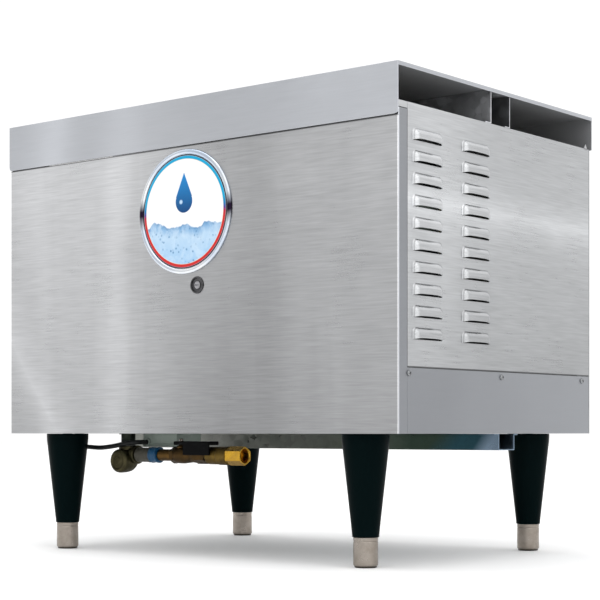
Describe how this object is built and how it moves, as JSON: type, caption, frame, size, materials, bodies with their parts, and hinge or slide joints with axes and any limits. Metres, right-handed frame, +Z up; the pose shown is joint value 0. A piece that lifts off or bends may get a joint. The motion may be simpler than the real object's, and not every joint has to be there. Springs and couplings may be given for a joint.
{
  "type": "tank water heater",
  "caption": "Under-counter electric tank water heater: a louvered sheet-steel cabinet with a cap lid and pull-off front, on adjustable legs, with inlet pipework below.",
  "frame": {"origin": "floor level, under the middle of the overall width and depth", "axes": "+Z up, the front panel faces -Y, the louvered end seen in the picture faces +X"},
  "size_m": [0.682, 0.4524, 0.59],
  "materials": {
    "stainless": "horizontally brushed, satin",
    "galvanised": "plain mill finish",
    "tank_steel": "welded, dull",
    "leg_plastic": "moulded, slight sheen",
    "foot_metal": "brushed, warm tone",
    "bright_trim": "polished",
    "badge_print": "printed gloss",
    "brass": "machined",
    "bronze": "cast, tarnished",
    "copper": null,
    "blue_plastic": "moulded",
    "grey_plastic": "moulded",
    "dark_plastic": "moulded",
    "black_grip": "dipped grip",
    "insulation": "glass-wool blanket",
    "rubber": "smooth",
    "red_plastic": "moulded",
    "element_sheath": "oxidised"
  },
  "bodies": {
    "cabinet": {"post_front_right": "stainless", "post_front_left": "stainless", "louver_panel_right": "stainless", "louver_panel_left": "stainless", "band_right": "stainless", "band_left": "stainless", "base_pan": "galvanised", "rear_panel": "galvanised", "lid_channel": "galvanised", "latch_keeper": "galvanised", "under_rail": "galvanised", "saddle_left": "galvanised", "saddle_right": "galvanised", "control_plate": "galvanised", "tank_shell": "tank_steel", "element_flange": "tank_steel", "leg_front_right": "leg_plastic", "leg_front_left": "leg_plastic", "leg_rear_right": "leg_plastic", "leg_rear_left": "leg_plastic", "brass_body": "brass", "union_nut": "brass", "outlet_nipple": "brass", "relief_valve": "brass", "inlet_riser": "bronze", "inlet_tee": "bronze", "valve_body": "bronze", "copper_tube": "copper", "relief_pipe": "copper", "inlet_collar": "blue_plastic", "inlet_coupling": "grey_plastic", "junction_box": "grey_plastic", "thermostat": "grey_plastic", "terminal_block": "dark_plastic", "contactor": "dark_plastic", "high_limit": "dark_plastic", "cable_gland": "dark_plastic", "tank_jacket": "insulation", "cable": "rubber", "element_gasket": "rubber", "heating_element_1": "element_sheath", "heating_element_2": "element_sheath", "heating_element_3": "element_sheath"},
    "lid": {"lid": "stainless"},
    "front_panel": {"front_panel": "stainless", "badge_bezel": "bright_trim", "badge_face": "badge_print", "latch_housing": "bright_trim"},
    "latch": {"latch_rotor": "foot_metal"},
    "valve_lever": {"valve_lever": "black_grip"},
    "relief_lever": {"relief_lever": "foot_metal"},
    "thermostat_knob": {"thermostat_knob": "black_grip"},
    "reset_button": {"reset_button": "red_plastic"},
    "contactor_plunger": {"contactor_plunger": "grey_plastic"},
    "foot_front_right": {"foot_front_right": "foot_metal"},
    "foot_front_left": {"foot_front_left": "foot_metal"},
    "foot_rear_right": {"foot_rear_right": "foot_metal"},
    "foot_rear_left": {"foot_rear_left": "foot_metal"}
  },
  "joints": [
    {"name": "lid_lift", "type": "slide", "parent": "cabinet", "child": "lid", "axis": [0, 0, 1], "range_m": [0, 0.12]},
    {"name": "front_panel_pull", "type": "slide", "parent": "cabinet", "child": "front_panel", "axis": [0, -1, 0], "range_m": [0, 0.12]},
    {"name": "latch_turn", "type": "hinge", "parent": "front_panel", "child": "latch", "pos_m": [0.021, -0.215, 0.349], "axis": [0, -1, 0], "range_deg": [0, 90]},
    {"name": "foot_front_right_screw", "type": "slide", "parent": "cabinet", "child": "foot_front_right", "axis": [0, 0, -1], "range_m": [0, 0.025]},
    {"name": "foot_front_left_screw", "type": "slide", "parent": "cabinet", "child": "foot_front_left", "axis": [0, 0, -1], "range_m": [0, 0.025]},
    {"name": "foot_rear_right_screw", "type": "slide", "parent": "cabinet", "child": "foot_rear_right", "axis": [0, 0, -1], "range_m": [0, 0.025]},
    {"name": "foot_rear_left_screw", "type": "slide", "parent": "cabinet", "child": "foot_rear_left", "axis": [0, 0, -1], "range_m": [0, 0.025]},
    {"name": "inlet_valve_turn", "type": "hinge", "parent": "cabinet", "child": "valve_lever", "pos_m": [-0.09, -0.135, 0.147], "axis": [0, 0, -1], "range_deg": [0, 90]},
    {"name": "relief_lever_lift", "type": "hinge", "parent": "cabinet", "child": "relief_lever", "pos_m": [-0.1, 0.035, 0.555], "axis": [0, -1, 0], "range_deg": [0, 30], "stiffness_Nm_per_rad": 0.3},
    {"name": "thermostat_turn", "type": "hinge", "parent": "cabinet", "child": "thermostat_knob", "pos_m": [0.299, -0.172, 0.419], "axis": [0, -1, 0], "range_deg": [0, 270]},
    {"name": "reset_press", "type": "slide", "parent": "cabinet", "child": "reset_button", "axis": [0, 1, 0], "range_m": [0, 0.0025], "stiffness_N_per_m": 400, "springref_m": -0.001},
    {"name": "contactor_press", "type": "slide", "parent": "cabinet", "child": "contactor_plunger", "axis": [0, 1, 0], "range_m": [0, 0.003], "stiffness_N_per_m": 500, "springref_m": -0.001}
  ]
}
